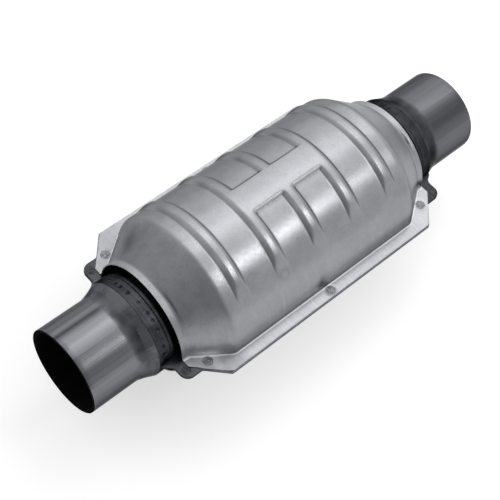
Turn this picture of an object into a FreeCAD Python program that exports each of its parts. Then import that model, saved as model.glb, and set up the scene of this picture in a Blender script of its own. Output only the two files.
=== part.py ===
import FreeCAD, Part
import math
import os
import Sketcher

# Round catalytic converter with a stamped heat shield, a clamshell body and a pipe at each end.
# X runs along the gas path from inlet to outlet, Z is up and the flanges lie in the XY plane.
# The origin is on the axis, half way along. Sizes are in millimetres.

DIMENSIONS = {
    # pipes
    "overall_length": 355.0,
    "pipe_diameter": 63.5,
    "pipe_wall": 1.6,
    "pipe_straight": 39.0,
    "pipe_flare_length": 11.0,
    "spigot_length": 8.5,
    "spigot_clearance": 0.2,
    "bead_leg": 2.6,
    "bead_crown_reach": 1.6,
    "bead_crown_drop": 0.5,
    # clamshell body
    "shell_sheet": 1.2,
    "shell_cone_length": 20.5,
    "throat_length": 23.0,
    "throat_step": 1.2,
    "neck_step": 4.45,
    "neck_band": 9.2,
    "neck_groove": 1.0,
    "neck_rim": 2.4,
    "neck_rim_step": 0.4,
    # seam flange of the body, with an ear at each corner
    "flange_step": 0.6,
    "ear_overhang": 7.6,
    "ear_length": 14.0,
    "ear_width": 109.8,
    "ear_corner_radius": 6.5,
    "ear_fillet_radius": 3.0,
    "ear_fillet_offset": 1.0,
    "ear_web_reach": 4.5,
    "ear_web_sink": 2.0,
    "ear_weld_inset": 4.7,
    "ear_weld_side_inset": 5.9,
    "ear_weld_diameter": 6.0,
    # heat shield
    "shield_diameter": 119.0,
    "shield_sheet": 0.8,
    "air_gap": 5.7,
    "shield_cone_length": 23.8,
    "shield_shoulder_radius": 7.0,
    "collar_setback": 14.1,
    "collar_length": 6.2,
    "collar_clearance": 5.4,
    "collar_rise": 1.2,
    "collar_bend_radius": 5.0,
    "flange_reach": 9.0,
    "flange_taper_length": 20.2,
    "flange_tip_reach": 6.2,
    "flange_corner_radius": 2.5,
    "fold_radius": 1.2,
    "rib_margin": 15.4,
    "rib_root": 10.4,
    "rib_crest": 6.0,
    "rib_height": 2.0,
    "rib_end_angle": 60.0,
    "rib_end_sink": 0.15,
    "rib_limit_foot": 8.0,
    "strip_width": 22.0,
    # spot welds through the flanges
    "weld_end_inset": 12.4,
    "weld_tip_offset": 4.8,
    "weld_side_inset": 4.7,
    "weld_diameter": 6.6,
    "weld_dent": 0.2,
    # honeycombs, mats and liners
    "mat_thickness": 5.3,
    "brick_setback": 3.0,
    "brick_gap": 14.0,
    "cell_pitch": 9.0,
    "cell_wall": 1.2,
    "brick_skin": 1.5,
    "seal_width": 3.0,
    "spacer_sheet": 1.0,
    "spacer_leg_lap": 2.5,
    "liner_sheet": 1.0,
    "liner_clearance": 0.1,
    "liner_sleeve_setback": 1.0,
    "liner_cone_offset": 1.0,
    "liner_mouth_lap": 1.3,
    "liner_mouth_lip": 1.6,
    # how far a cutting shape runs past the face that it opens
    "overcut": 1.0,
    "overcut_angle": 200.0,
}

# Half lengths are measured from the middle of the part, radii from the gas axis.
FORMULAS = {
    "pipe_end_x": "overall_length / 2",
    "pipe_r": "pipe_diameter / 2",
    "flare_x": "pipe_end_x - pipe_straight",
    "mouth_x": "flare_x - pipe_flare_length",
    "neck_r": "pipe_r + neck_step",
    "neck_bore_r": "neck_r - shell_sheet",
    "spigot_r": "neck_bore_r - spigot_clearance",
    "spigot_x": "mouth_x - spigot_length",
    "rim_x": "mouth_x - neck_band - neck_groove",
    "throat_r": "neck_r - throat_step",
    "throat_x": "mouth_x - throat_length",
    "shell_x": "throat_x - shell_cone_length",
    "collar_x": "mouth_x - collar_setback",
    "collar_r": "neck_r + collar_clearance",
    "collar_start_x": "collar_x - collar_length",
    "collar_start_r": "collar_r + collar_rise",
    "shield_x": "collar_start_x - shield_cone_length",
    "shield_r": "shield_diameter / 2",
    "shell_r": "shield_r - shield_sheet - air_gap",
    "shell_bore_r": "shell_r - shell_sheet",
    "rib_pitch": "(shield_x - rib_margin) / 2",
    "flange_y": "shield_r + flange_reach",
    "flange_corner_x": "collar_x - flange_taper_length",
    "flange_tip_y": "collar_r + flange_tip_reach",
    "ear_x": "collar_x + ear_overhang",
    "ear_y": "ear_width / 2",
    "ear_root_x": "ear_x - ear_length",
    "brick_r": "shell_bore_r - mat_thickness",
    "brick_near_x": "brick_gap / 2",
    "brick_far_x": "shell_x - brick_setback",
}

doc = FreeCAD.newDocument("CatalyticConverter")
sheet = doc.addObject("Spreadsheet::Sheet", "Dim")
entries = [(alias, str(number)) for alias, number in DIMENSIONS.items()]
entries += [(alias, "=" + formula) for alias, formula in FORMULAS.items()]
for row, (alias, content) in enumerate(entries, start=1):
    sheet.set("A%d" % row, alias)
    sheet.setAlias("B%d" % row, alias)
    sheet.set("B%d" % row, content)
doc.recompute()

TOUCH = 0.001
X_AXIS = FreeCAD.Vector(1, 0, 0)
Z_AXIS = FreeCAD.Vector(0, 0, 1)
PLANES = {
    "XY": FreeCAD.Rotation(),
    "XZ": FreeCAD.Rotation(X_AXIS, 90),
    "YZ": FreeCAD.Rotation(FreeCAD.Vector(1, 1, 1), 120),
}
INLET = -1
OUTLET = 1


def value(expression):
    """The present number behind an expression, in mm or degrees."""
    result = sheet.evalExpression(expression)
    return float(getattr(result, "Value", result))


# Sketching

def free_sketch(name, plane):
    sketch = doc.addObject("Sketcher::SketchObject", name)
    sketch.Placement = FreeCAD.Placement(FreeCAD.Vector(), PLANES[plane])
    return sketch


def body_sketch(body, name, plane, offset=None):
    sketch = body.newObject("Sketcher::SketchObject", name)
    support = [part for part in body.Origin.OriginFeatures if part.Role == plane + "_Plane"]
    sketch.AttachmentSupport = [(support[0], "")]
    sketch.MapMode = "FlatFace"
    if offset:
        sketch.setExpression("AttachmentOffset.Base.z", offset)
    return sketch


def bind(sketch, kind, expression, *targets):
    index = sketch.addConstraint(Sketcher.Constraint(kind, *targets, value(expression)))
    sketch.setExpression("Constraints[%d]" % index, expression)


def place(sketch, geometry, x, y):
    """Tie a point to the two axes; None puts it on the other axis."""
    if x is None:
        sketch.addConstraint(Sketcher.Constraint("PointOnObject", geometry, 1, -2))
    else:
        bind(sketch, "DistanceX", x, geometry, 1)
    if y is None:
        sketch.addConstraint(Sketcher.Constraint("PointOnObject", geometry, 1, -1))
    else:
        bind(sketch, "DistanceY", y, geometry, 1)


def corner_arc(before, corner, after, radius):
    """Tangent points and circle that round one corner, and whether it turns left."""
    back = (before - corner).normalize()
    ahead = (after - corner).normalize()
    half = back.getAngle(ahead) / 2
    first = corner + back * (radius / math.tan(half))
    last = corner + ahead * (radius / math.tan(half))
    centre = corner + (back + ahead).normalize() * (radius / math.sin(half))
    return first, last, centre, (corner - before).cross(after - corner).z > 0


def outline(sketch, corners):
    """A closed outline; each corner is (x, y) or (x, y, radius), as expressions."""
    count = len(corners)
    spots = []
    for corner in corners:
        x, y = corner[:2]
        spots.append(FreeCAD.Vector(value(x) if x else 0, value(y) if y else 0, 0))
    starts = list(spots)
    ends = spots[1:] + spots[:1]
    arcs = {}
    for i, corner in enumerate(corners):
        if len(corner) == 3:
            arcs[i] = corner_arc(spots[i - 1], spots[i], spots[(i + 1) % count], value(corner[2]))
            ends[i - 1] = arcs[i][0]
            starts[i] = arcs[i][1]
    lines = [sketch.addGeometry(Part.LineSegment(a, b), False) for a, b in zip(starts, ends)]
    for i, corner in enumerate(corners):
        before, after = lines[i - 1], lines[i]
        if i not in arcs:
            sketch.addConstraint(Sketcher.Constraint("Coincident", before, 2, after, 1))
            place(sketch, after, corner[0], corner[1])
            continue
        first, last, centre, left = arcs[i]
        begin, finish = (first, last) if left else (last, first)
        angles = [math.atan2((p - centre).y, (p - centre).x) for p in (begin, finish)]
        circle = Part.Circle(centre, Z_AXIS, (first - centre).Length)
        arc = sketch.addGeometry(Part.ArcOfCircle(circle, *angles), False)
        point = sketch.addGeometry(Part.Point(spots[i]), True)
        entry, leave = (1, 2) if left else (2, 1)
        sketch.addConstraint(Sketcher.Constraint("Tangent", before, 2, arc, entry))
        sketch.addConstraint(Sketcher.Constraint("Tangent", after, 1, arc, leave))
        sketch.addConstraint(Sketcher.Constraint("PointOnObject", point, 1, before))
        sketch.addConstraint(Sketcher.Constraint("PointOnObject", point, 1, after))
        place(sketch, point, corner[0], corner[1])
        bind(sketch, "Radius", corner[2], arc)
    return sketch


def both_ways(half):
    """Corners given from the middle to the +X end, completed by their mirror images."""
    mirrored = [("-(%s)" % corner[0],) + tuple(corner[1:]) for corner in reversed(half)]
    return mirrored + list(half)


def all_quarters(quarter):
    """Corners of the +X +Y quarter from the side to the end, completed all round."""
    def flip(corner, x_sign, y_sign):
        x = "(%s) * %d" % (corner[0], x_sign)
        y = "(%s) * %d" % (corner[1], y_sign)
        return (x, y) + tuple(corner[2:])
    back = list(reversed(quarter))
    result = [flip(corner, 1, 1) for corner in quarter]
    result += [flip(corner, 1, -1) for corner in back]
    result += [flip(corner, -1, -1) for corner in quarter]
    result += [flip(corner, -1, 1) for corner in back]
    return result


# Solids

def half_turn(name, sketch, angle="180"):
    solid = doc.addObject("Part::Revolution", name)
    solid.Source = sketch
    solid.Axis = X_AXIS
    solid.Solid = True
    solid.Symmetric = True
    solid.setExpression("Angle", angle)
    return solid


def plate(name, sketch, thickness, lift=None):
    solid = doc.addObject("Part::Extrusion", name)
    solid.Base = sketch
    solid.DirMode = "Custom"
    solid.Dir = Z_AXIS
    solid.Solid = True
    solid.setExpression("LengthFwd", thickness)
    if lift:
        solid.setExpression("Placement.Base.z", lift)
    return solid


def disc(name, x, y, diameter, height):
    """A round plug through the flanges, centred on the seam plane."""
    solid = doc.addObject("Part::Cylinder", name)
    solid.setExpression("Radius", "(%s) / 2" % diameter)
    solid.setExpression("Height", height)
    solid.setExpression("Placement.Base.x", x)
    solid.setExpression("Placement.Base.y", y)
    solid.setExpression("Placement.Base.z", "-(%s) / 2" % height)
    return solid


def joined(name, parts):
    result = doc.addObject("Part::MultiFuse", name)
    result.Shapes = parts
    return result


def shared(name, parts):
    result = doc.addObject("Part::MultiCommon", name)
    result.Shapes = parts
    return result


def minus(name, base, tool):
    result = doc.addObject("Part::Cut", name)
    result.Base = base
    result.Tool = tool
    return result


def group(name, parts):
    result = doc.addObject("Part::Compound", name)
    result.Links = parts
    return result


def turned_over(name, source):
    """The lower half of a pair of stampings: the upper one mirrored in the seam plane."""
    result = doc.addObject("Part::Mirroring", name)
    result.Source = source
    result.Normal = Z_AXIS
    return result


def folded(name, base, rim, level, radius):
    """Round the fold between wall and flange: the edges at one level that aren't on the rim."""
    doc.recompute()
    height = value(level)
    picked = []
    for number, edge in enumerate(base.Shape.Edges, start=1):
        box = edge.BoundBox
        middle = edge.valueAt((edge.FirstParameter + edge.LastParameter) / 2)
        from_rim = rim.Shape.distToShape(Part.Vertex(middle.x, middle.y, 0))[0]
        if max(abs(box.ZMin - height), abs(box.ZMax - height)) < TOUCH and from_rim > TOUCH:
            picked.append((number, value(radius), value(radius)))
    result = doc.addObject("Part::Fillet", name)
    result.Base = base
    result.Edges = picked
    return result


# Rings turned about the gas axis

def ring_body(name, corners):
    body = doc.addObject("PartDesign::Body", name)
    sketch = body_sketch(body, name + "_profile", "XZ")
    outline(sketch, corners)
    doc.recompute()
    turn = body.newObject("PartDesign::Revolution", name + "_turn")
    turn.Profile = sketch
    turn.ReferenceAxis = (sketch, ["H_Axis"])
    turn.Angle = 360
    return body


def sided(side, corners):
    """The same corners at the inlet or the outlet end."""
    return [("(%s) * %d" % (corner[0], side),) + tuple(corner[1:]) for corner in corners]


# Pipes and the beads that join them to the necks

def pipe(name, side):
    corners = [
        ("Dim.pipe_end_x", "Dim.pipe_r"),
        ("Dim.flare_x", "Dim.pipe_r"),
        ("Dim.mouth_x", "Dim.spigot_r"),
        ("Dim.spigot_x", "Dim.spigot_r"),
        ("Dim.spigot_x", "Dim.spigot_r - Dim.pipe_wall"),
        ("Dim.mouth_x", "Dim.spigot_r - Dim.pipe_wall"),
        ("Dim.flare_x", "Dim.pipe_r - Dim.pipe_wall"),
        ("Dim.pipe_end_x", "Dim.pipe_r - Dim.pipe_wall"),
    ]
    return ring_body(name, sided(side, corners))


def weld_bead(name, side):
    """Bead in the corner between the neck's mouth and the pipe's flare."""
    slope = "(Dim.spigot_r - Dim.pipe_r) / Dim.pipe_flare_length"
    corners = [
        ("Dim.mouth_x", "Dim.spigot_r"),
        ("Dim.mouth_x", "Dim.neck_r"),
        ("Dim.mouth_x + Dim.bead_crown_reach", "Dim.neck_r - Dim.bead_crown_drop"),
        ("Dim.mouth_x + Dim.bead_leg", "Dim.spigot_r - Dim.bead_leg * " + slope),
    ]
    return ring_body(name, sided(side, corners))


# Clamshell body

def shell_profile(name, inset):
    """Half section of the body; inset 0 is the outside, 1 the inside of the sheet."""
    skin = "%d * Dim.shell_sheet" % inset
    end = "Dim.mouth_x + %d * Dim.overcut" % inset
    half = [
        ("Dim.shell_x", "Dim.shell_r - %s" % skin),
        ("Dim.throat_x", "Dim.throat_r - %s" % skin),
    ]
    if inset == 0:
        half += [
            ("Dim.rim_x - Dim.neck_rim - Dim.neck_groove", "Dim.throat_r"),
            ("Dim.rim_x - Dim.neck_rim", "Dim.neck_r - Dim.neck_rim_step"),
            ("Dim.rim_x", "Dim.neck_r - Dim.neck_rim_step"),
            ("Dim.rim_x + Dim.neck_groove / 2", "Dim.throat_r"),
        ]
    else:
        half += [("Dim.rim_x", "Dim.throat_r - %s" % skin)]
    half += [
        ("Dim.rim_x + Dim.neck_groove", "Dim.neck_r - %s" % skin),
        (end, "Dim.neck_r - %s" % skin),
        (end, None),
    ]
    return outline(free_sketch(name, "XZ"), both_ways(half))


def ear_welds():
    welds = []
    for x_sign in (-1, 1):
        for y_sign in (-1, 1):
            x = "(Dim.ear_x - Dim.ear_weld_inset) * %d" % x_sign
            y = "(Dim.ear_y - Dim.ear_weld_side_inset) * %d" % y_sign
            height = "2 * (Dim.shell_sheet - Dim.weld_dent)"
            welds.append(disc("ear_weld", x, y, "Dim.ear_weld_diameter", height))
    return welds


def shield_welds(height, name):
    """The six welds through shield, body and shield: four near the corners, two mid-side."""
    places = [("0 * Dim.collar_x", "(Dim.flange_y - Dim.weld_side_inset)")]
    for x_sign in (-1, 1):
        x = "(Dim.collar_x - Dim.weld_end_inset) * %d" % x_sign
        places.append((x, "(Dim.flange_tip_y + Dim.weld_tip_offset)"))
    welds = []
    for y_sign in (-1, 1):
        for x, y in places:
            welds.append(disc(name, x, "%s * %d" % (y, y_sign), "Dim.weld_diameter", height))
    return welds


def shell_half(welds_in_ears, welds_in_flange):
    dome = half_turn("shell_outside", shell_profile("shell_outside_profile", 0))
    bore = half_turn("shell_inside", shell_profile("shell_inside_profile", 1),
                     "Dim.overcut_angle")
    quarter = [
        ("Dim.flange_corner_x + Dim.flange_step / 2", "Dim.flange_y + Dim.flange_step",
         "Dim.flange_corner_radius"),
        ("Dim.ear_root_x", "Dim.ear_y"),
        ("Dim.ear_x", "Dim.ear_y", "Dim.ear_corner_radius"),
        ("Dim.ear_x", "Dim.neck_r + Dim.ear_fillet_offset", "Dim.ear_fillet_radius"),
        ("Dim.ear_x + Dim.ear_web_reach", "Dim.neck_r - Dim.ear_web_sink"),
    ]
    rim = outline(free_sketch("shell_flange_outline", "XY"), all_quarters(quarter))
    flange = plate("shell_flange", rim, "Dim.shell_sheet")
    pressed = joined("shell_pressing", [dome, flange])
    hollow = minus("shell_hollow", pressed, bore)
    holes = joined("shell_weld_holes", welds_in_ears + welds_in_flange)
    return minus("shell_upper", hollow, holes)


# Heat shield

def shield_profile(name, inset):
    skin = "%d * Dim.shield_sheet" % inset
    end = "Dim.collar_x + %d * Dim.overcut" % inset
    half = [
        ("Dim.shield_x", "Dim.shield_r - %s" % skin, "Dim.shield_shoulder_radius"),
        ("Dim.collar_start_x", "Dim.collar_start_r - %s" % skin, "Dim.collar_bend_radius"),
        (end, "Dim.collar_r - %s" % skin),
        (end, None),
    ]
    return outline(free_sketch(name, "XZ"), both_ways(half))


def rib_profile(name, inset):
    """Five trapezoid beads side by side; the inside ones are narrower by the bend of the sheet."""
    bend = "atan(Dim.rib_height / ((Dim.rib_root - Dim.rib_crest) / 2)) / 2"
    trim = "%d * Dim.shield_sheet * tan(%s)" % (inset, bend)
    skin = "%d * Dim.shield_sheet" % inset
    root = "(Dim.rib_root / 2 - %s)" % trim
    crest = "(Dim.rib_crest / 2 - %s)" % trim
    base = "Dim.shield_r - %s" % skin
    sketch = free_sketch(name, "XZ")
    for number in range(-2, 3):
        middle = "Dim.rib_pitch * %d" % number
        outline(sketch, [
            ("%s - %s" % (middle, root), base + " - Dim.rib_height"),
            ("%s + %s" % (middle, root), base + " - Dim.rib_height"),
            ("%s + %s" % (middle, root), base),
            ("%s + %s" % (middle, crest), base + " + Dim.rib_height"),
            ("%s - %s" % (middle, crest), base + " + Dim.rib_height"),
            ("%s - %s" % (middle, root), base),
        ])
    return sketch


def rib_limit(name, inset):
    """A roof-shaped block whose two planes run the ribs out into the wall."""
    reach = "(Dim.shield_r - Dim.rib_end_sink - %d * Dim.shield_sheet)" % inset
    angle = "(Dim.rib_end_angle * 1 deg)"
    low = "Dim.rib_limit_foot"
    wide = "(%s - %s * cos(%s)) / sin(%s)" % (reach, low, angle, angle)
    sketch = outline(free_sketch(name + "_section", "YZ"), [
        ("-(%s)" % wide, low),
        (wide, low),
        (None, "%s / cos(%s)" % (reach, angle)),
    ])
    solid = doc.addObject("Part::Extrusion", name)
    solid.Base = sketch
    solid.DirMode = "Custom"
    solid.Dir = X_AXIS
    solid.Solid = True
    solid.Symmetric = True
    solid.setExpression("LengthFwd", "2 * Dim.shield_x")
    return solid


def strip_profile(name, inset):
    """The raised strip that ties the three middle ribs together over the top."""
    skin = "%d * Dim.shield_sheet" % inset
    base = "Dim.shield_r - %s" % skin
    return outline(free_sketch(name, "XZ"), [
        ("-Dim.rib_pitch", base + " - Dim.rib_height"),
        ("Dim.rib_pitch", base + " - Dim.rib_height"),
        ("Dim.rib_pitch", base + " + Dim.rib_height"),
        ("-Dim.rib_pitch", base + " + Dim.rib_height"),
    ])


def shield_form(name, inset):
    """Solid block with the outside (inset 0) or the inside (inset 1) shape of the stamping."""
    turn = "Dim.overcut_angle" if inset else "180"
    dome = half_turn(name + "_dome", shield_profile(name + "_dome_profile", inset), turn)
    ribs = half_turn(name + "_ribs", rib_profile(name + "_rib_profile", inset),
                     "2 * Dim.rib_end_angle")
    ribs_ended = shared(name + "_ribs_ended", [ribs, rib_limit(name + "_rib_limit", inset)])
    strip_reach = "Dim.strip_width - %d * 2 * Dim.shield_sheet" % inset
    strip_angle = "(%s) / (Dim.shield_r + Dim.rib_height) * 180 / pi" % strip_reach
    strip = half_turn(name + "_strip", strip_profile(name + "_strip_profile", inset), strip_angle)
    return joined(name, [dome, ribs_ended, strip])


def shield_half(welds_in_flange):
    block = shield_form("shield_outside", 0)
    hollow = shield_form("shield_inside", 1)
    quarter = [
        ("Dim.flange_corner_x", "Dim.flange_y", "Dim.flange_corner_radius"),
        ("Dim.collar_x", "Dim.flange_tip_y"),
    ]
    rim = outline(free_sketch("shield_flange_outline", "XY"), all_quarters(quarter))
    flange = plate("shield_flange", rim, "Dim.shield_sheet", "Dim.shell_sheet")
    below = plate("shield_seat", outline(free_sketch("shield_seat_outline", "XY"), all_quarters([
        ("Dim.collar_x + Dim.overcut", "Dim.flange_y"),
    ])), "Dim.shell_sheet")
    dome = minus("shield_dome", block, below)
    pressed = joined("shield_pressing", [dome, flange])
    outside = folded("shield_fold", pressed, rim, "(Dim.shell_sheet + Dim.shield_sheet)",
                     "Dim.fold_radius")
    sheet_metal = minus("shield_sheet_metal", outside, hollow)
    inside = folded("shield_inner_fold", sheet_metal, rim, "Dim.shell_sheet",
                    "Dim.fold_radius + Dim.shield_sheet")
    return minus("heat_shield_upper", inside, joined("shield_weld_holes", welds_in_flange))


# Honeycombs, mats, seals and liners

def substrate(name, side):
    """Ceramic block with square channels in rows; a row holds as many as fit in the skin."""
    start = "(%s) * %d" % ("Dim.brick_near_x" if side == OUTLET else "Dim.brick_far_x", side)
    body = doc.addObject("PartDesign::Body", name)
    round_face = body_sketch(body, name + "_round", "YZ", start)
    round_face.addGeometry(Part.Circle(FreeCAD.Vector(), Z_AXIS, value("Dim.brick_r")), False)
    round_face.addConstraint(Sketcher.Constraint("Coincident", 0, 3, -1, 1))
    bind(round_face, "Radius", "Dim.brick_r", 0)
    block = body.newObject("PartDesign::Pad", name + "_block")
    block.Profile = round_face
    block.setExpression("Length", "Dim.brick_far_x - Dim.brick_near_x")
    pitch = value("Dim.cell_pitch")
    half_cell = value("(Dim.cell_pitch - Dim.cell_wall) / 2")
    reach = value("Dim.brick_r - Dim.brick_skin")
    rows = int((reach - half_cell) / pitch)
    for row in range(-rows, rows + 1):
        far = abs(row) * pitch + half_cell
        columns = int((math.sqrt(reach ** 2 - far ** 2) - half_cell) / pitch)
        label = "%s_row_%d" % (name, row + rows)
        cell = body_sketch(body, label, "YZ", start)
        left = "(Dim.cell_pitch * %d - (Dim.cell_pitch - Dim.cell_wall) / 2)" % -columns
        low = "(Dim.cell_pitch * %d - (Dim.cell_pitch - Dim.cell_wall) / 2)" % row
        open_size = "(Dim.cell_pitch - Dim.cell_wall)"
        outline(cell, [
            (left, low),
            ("%s + %s" % (left, open_size), low),
            ("%s + %s" % (left, open_size), "%s + %s" % (low, open_size)),
            (left, "%s + %s" % (low, open_size)),
        ])
        channel = body.newObject("PartDesign::Pocket", label + "_channel")
        channel.Profile = cell
        channel.Type = "ThroughAll"
        channel.Reversed = True
        doc.recompute()
        if columns:
            copies = body.newObject("PartDesign::LinearPattern", label + "_copies")
            copies.Originals = [channel]
            copies.Direction = (cell, ["H_Axis"])
            copies.Occurrences = 2 * columns + 1
            copies.setExpression("Length", "Dim.cell_pitch * %d" % (2 * columns))
            body.Tip = copies
    return body


def collar_ring(name, side, near_x, far_x):
    """Plain ring that fills the space between honeycomb and body wall."""
    return ring_body(name, sided(side, [
        (near_x, "Dim.brick_r"),
        (far_x, "Dim.brick_r"),
        (far_x, "Dim.shell_bore_r"),
        (near_x, "Dim.shell_bore_r"),
    ]))


def spacer():
    """Channel ring, open inwards, whose two legs bear on the honeycombs and the seals."""
    outer = "Dim.brick_near_x"
    inner = "(Dim.brick_near_x - Dim.spacer_sheet)"
    bore = "(Dim.brick_r - Dim.spacer_leg_lap)"
    web = "(Dim.shell_bore_r - Dim.spacer_sheet)"
    return ring_body("spacer_ring", [
        ("-(%s)" % outer, bore),
        ("-(%s)" % inner, bore),
        ("-(%s)" % inner, web),
        (inner, web),
        (inner, bore),
        (outer, bore),
        (outer, "Dim.shell_bore_r"),
        ("-(%s)" % outer, "Dim.shell_bore_r"),
    ])


def liner(name, side):
    """Thin cone that slips into the pipe's spigot and ends on the outer seal."""
    sleeve = "(Dim.spigot_r - Dim.pipe_wall - Dim.liner_clearance)"
    sleeve_end = "(Dim.mouth_x - Dim.liner_sleeve_setback)"
    cone_start = "(Dim.throat_x + Dim.liner_cone_offset)"
    mouth = "(Dim.brick_r + Dim.liner_mouth_lap)"
    lip = "(Dim.brick_far_x + Dim.liner_mouth_lip)"
    return ring_body(name, sided(side, [
        (sleeve_end, sleeve),
        (cone_start, sleeve),
        (lip, mouth),
        ("Dim.brick_far_x", mouth),
        ("Dim.brick_far_x", mouth + " - Dim.liner_sheet"),
        (lip, mouth + " - Dim.liner_sheet"),
        (cone_start, sleeve + " - Dim.liner_sheet"),
        (sleeve_end, sleeve + " - Dim.liner_sheet"),
    ]))


# Assembly

seam_stack = "2 * (Dim.shell_sheet + Dim.shield_sheet - Dim.weld_dent)"
through_stack = "2 * (Dim.shell_sheet + Dim.shield_sheet + Dim.overcut)"
nuggets = shield_welds(seam_stack, "flange_weld")
nugget_holes = shield_welds(through_stack, "flange_weld_hole")
ear_nuggets = ear_welds()
ear_holes = []
for nugget in ear_nuggets:
    hole = disc("ear_weld_hole", "%s.Placement.Base.x" % nugget.Name,
                "%s.Placement.Base.y" % nugget.Name, "Dim.ear_weld_diameter", through_stack)
    ear_holes.append(hole)

NODES = {}
NODES["shell_upper"] = shell_half(ear_holes, nugget_holes)
NODES["shell_lower"] = turned_over("shell_lower", NODES["shell_upper"])
NODES["heat_shield_upper"] = shield_half(nugget_holes)
NODES["heat_shield_lower"] = turned_over("heat_shield_lower", NODES["heat_shield_upper"])
NODES["shield_spot_welds"] = group("shield_spot_welds", nuggets)
NODES["ear_spot_welds"] = group("ear_spot_welds", ear_nuggets)
for prefix, brick, side in (("inlet", "front", INLET), ("outlet", "rear", OUTLET)):
    NODES[prefix + "_pipe"] = pipe(prefix + "_pipe", side)
    NODES[prefix + "_weld"] = weld_bead(prefix + "_weld", side)
    NODES[prefix + "_inner_cone"] = liner(prefix + "_inner_cone", side)
    NODES[brick + "_substrate"] = substrate(brick + "_substrate", side)
    near_seal_x = "Dim.brick_near_x + Dim.seal_width"
    far_seal_x = "Dim.brick_far_x - Dim.seal_width"
    NODES[brick + "_mat"] = collar_ring(brick + "_mat", side, near_seal_x, far_seal_x)
    inner_seal = brick + "_mat_inner_seal"
    outer_seal = "%s_mat_%s_seal" % (brick, prefix)
    NODES[inner_seal] = collar_ring(inner_seal, side, "Dim.brick_near_x", near_seal_x)
    NODES[outer_seal] = collar_ring(outer_seal, side, far_seal_x, "Dim.brick_far_x")
NODES["spacer_ring"] = spacer()

doc.recompute()

for item in doc.Objects:
    if "Invalid" in item.State or "Error" in item.State:
        raise RuntimeError("%s did not build: %s" % (item.Name, item.State))
for node, item in NODES.items():
    item.Label = node
    if item.Shape.isNull() or not item.Shape.isValid():
        raise RuntimeError("%s has no valid shape" % node)

os.makedirs("parts", exist_ok=True)
for node, item in NODES.items():
    item.Shape.exportStep("parts/%s.step" % node)
    solids = len(item.Shape.Solids)
    print("%-26s solids %d  volume %.0f mm3" % (node, solids, item.Shape.Volume))
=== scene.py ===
import math
import random

import bpy
import numpy as np
from mathutils import Matrix, Vector

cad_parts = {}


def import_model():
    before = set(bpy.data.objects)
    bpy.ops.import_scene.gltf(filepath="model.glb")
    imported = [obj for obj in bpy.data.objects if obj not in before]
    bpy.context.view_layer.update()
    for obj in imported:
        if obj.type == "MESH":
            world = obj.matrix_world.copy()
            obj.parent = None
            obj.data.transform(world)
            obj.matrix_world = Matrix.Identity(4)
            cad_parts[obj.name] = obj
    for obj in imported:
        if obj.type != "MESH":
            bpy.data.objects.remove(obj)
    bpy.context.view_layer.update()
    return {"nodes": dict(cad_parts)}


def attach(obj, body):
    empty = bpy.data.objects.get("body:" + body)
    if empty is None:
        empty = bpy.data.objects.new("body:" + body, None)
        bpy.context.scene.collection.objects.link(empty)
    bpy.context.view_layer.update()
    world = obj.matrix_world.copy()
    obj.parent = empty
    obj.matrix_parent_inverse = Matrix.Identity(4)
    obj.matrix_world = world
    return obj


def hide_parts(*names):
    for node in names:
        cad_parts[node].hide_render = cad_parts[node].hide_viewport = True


# Looks of a catalytic converter: finely pressed shield, body with dimpled necks, drawn pipes,
# fine honeycombs, and the studio round them. Lengths in the mesh code are millimetres, and
# each piece is handed over in metres. Materials and studio are written in metres.
# Theta is the angle about the gas axis in degrees: 0 at +Y, 90 at the top, 180 at -Y.

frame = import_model()
MM = 0.001

# Main sizes, the same as in the CAD model

PIPE_END, FLARE_START, MOUTH_X, SPIGOT_X = 177.5, 141.5, 127.5, 119.0
PIPE_R, SPIGOT_R, PIPE_WALL = 31.75, 34.8, 1.6
NECK_R, THROAT_R, RIM_R, RIM_X = 36.2, 35.0, 35.8, 117.3
THROAT_X, SHELL_X, SHELL_R, SHELL_SHEET = 104.5, 84.0, 53.0, 1.2
SHIELD_R, SHIELD_X, SHIELD_SHEET = 59.5, 83.4, 0.8
COLLAR_START_X, COLLAR_START_R, COLLAR_X, COLLAR_R = 108.55, 41.85, 113.4, 41.7
FLANGE_Y, FLANGE_CORNER_X, FLANGE_TIP_Y, FLANGE_STEP = 68.5, 93.2, 47.8, 0.6
FLANGE_TOP = SHELL_SHEET + SHIELD_SHEET
EAR_ROOT_X, EAR_X, EAR_Y = 107.0, 121.0, 54.9
BRICK_NEAR, BRICK_FAR, BRICK_R = 7.0, 81.0, 46.5

# Spot welds: places, radius, and how far the marks lie below the shield or above the ears
WELD_END, WELD_END_Y, WELD_MIDDLE_Y, WELD_R, WELD_SINK = 101.0, 52.6, 63.8, 4.1, 0.19
WELD_PLACES = [(x * WELD_END, y * (WELD_END_Y if x else WELD_MIDDLE_Y))
               for y in (-1, 1) for x in (-1, 0, 1)]
EAR_WELD_X, EAR_WELD_Y, EAR_WELD_R, EAR_WELD_RISE = 116.3, 49.0, 3.2, 0.08
EAR_WELD_PLACES = [(x * EAR_WELD_X, y * EAR_WELD_Y) for x in (-1, 1) for y in (-1, 1)]

# Ribs and strip: ribs end at these angles from the top, further down on the side of +Y

RIB_PITCH, RIB_ROOT, RIB_CREST, RIB_HEIGHT = 34.0, 5.7, 1.2, 2.0
RIB_END, RIB_END_FAR, RIB_SINK = 56.0, 70.5, 0.15
TOP = 90.0
STRIP_LOW, STRIP_HIGH = 78.9, 99.9

# Millimetres of arc to a degree, half way up the strip
STRIP_ARC = math.radians(SHIELD_R + 1)

# Rounded corners of the sheets
SHOULDER_ROUND, COLLAR_ROUND, FLANGE_CORNER_ROUND = 7.0, 3.0, 2.5
BODY_ROUND, THROAT_ROUND = 6.0, 5.0
EAR_ROOT_ROUND, EAR_ROUND, EAR_INSIDE_ROUND = 3.0, 6.5, 4.8

# How far a profile runs on past its end, and how fast the flange narrows there
PAST_END, FLANGE_TIP_SLOPE = 1.0, 1.025

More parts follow.
